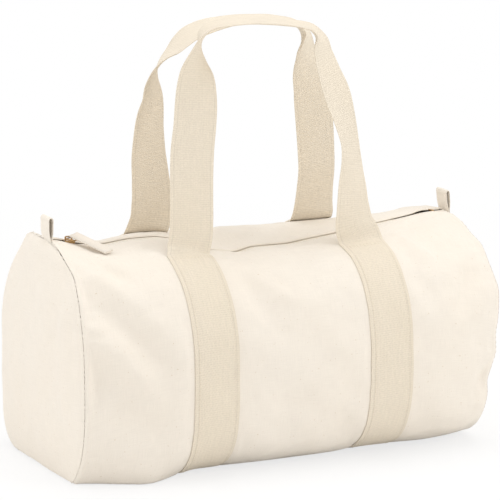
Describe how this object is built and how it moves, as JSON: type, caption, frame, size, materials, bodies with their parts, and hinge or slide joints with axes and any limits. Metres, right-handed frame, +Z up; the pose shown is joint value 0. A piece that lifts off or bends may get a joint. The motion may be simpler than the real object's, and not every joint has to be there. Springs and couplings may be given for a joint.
{
  "type": "sports bag",
  "caption": "Canvas barrel bag with round ends, a zip along the top, sewn webbing straps round the body and standing webbing handles.",
  "frame": {"origin": "middle of the footprint, on the surface that the bag stands on", "axes": "+X along the bag, from the end where the closed zip's slider lies to the other end; -Y the front; +Z up"},
  "size_m": [0.4906, 0.2964, 0.4673],
  "materials": {
    "canvas": "matt",
    "webbing": "matt",
    "twill_tape": "matt",
    "coil": "satin",
    "brass": "polished"
  },
  "bodies": {
    "bag": {"main_panel": "canvas", "left_end_panel": "canvas", "right_end_panel": "canvas", "left_seam_binding": "twill_tape", "right_seam_binding": "twill_tape", "left_tab_loop": "canvas", "right_tab_loop": "canvas", "left_body_strap": "webbing", "right_body_strap": "webbing", "left_zip_tape": "twill_tape", "right_zip_tape": "twill_tape", "left_zip_coil": "coil", "right_zip_coil": "coil", "left_zip_stop": "brass", "right_zip_stop": "brass"},
    "front_mouth": {"front_lip": "canvas", "front_zip_tape": "twill_tape", "front_zip_coil": "coil"},
    "rear_mouth": {"rear_lip": "canvas", "rear_zip_tape": "twill_tape", "rear_zip_coil": "coil"},
    "front_grip": {"front_handle": "webbing"},
    "rear_grip": {"rear_handle": "webbing"},
    "slider": {"zip_slider": "brass"},
    "puller": {"pull_ring": "brass", "puller_tape": "twill_tape"}
  },
  "joints": [
    {"name": "front_handle_fold", "type": "hinge", "parent": "bag", "child": "front_grip", "pos_m": [0, -0.0663, 0.23571], "axis": [1, 0, 0], "range_deg": [0, 115]},
    {"name": "rear_handle_fold", "type": "hinge", "parent": "bag", "child": "rear_grip", "pos_m": [0, 0.0663, 0.23571], "axis": [-1, 0, 0], "range_deg": [0, 115]},
    {"name": "front_lip_open", "type": "hinge", "parent": "bag", "child": "front_mouth", "pos_m": [0, -0.059, 0.23402], "axis": [1, 0, 0], "range_deg": [0, 50]},
    {"name": "rear_lip_open", "type": "hinge", "parent": "bag", "child": "rear_mouth", "pos_m": [0, 0.059, 0.23402], "axis": [-1, 0, 0], "range_deg": [0, 50]},
    {"name": "zip_slide", "type": "slide", "parent": "bag", "child": "slider", "axis": [1, 0, 0], "range_m": [0, 0.4162]},
    {"name": "puller_swing", "type": "hinge", "parent": "slider", "child": "puller", "pos_m": [-0.2081, 0, 0.2442], "axis": [-0.809, -0.5878, 0], "range_deg": [0, 150]}
  ],
  "couplings": [
    {"joint": "rear_lip_open", "follows": "front_lip_open", "ratio": 1}
  ]
}
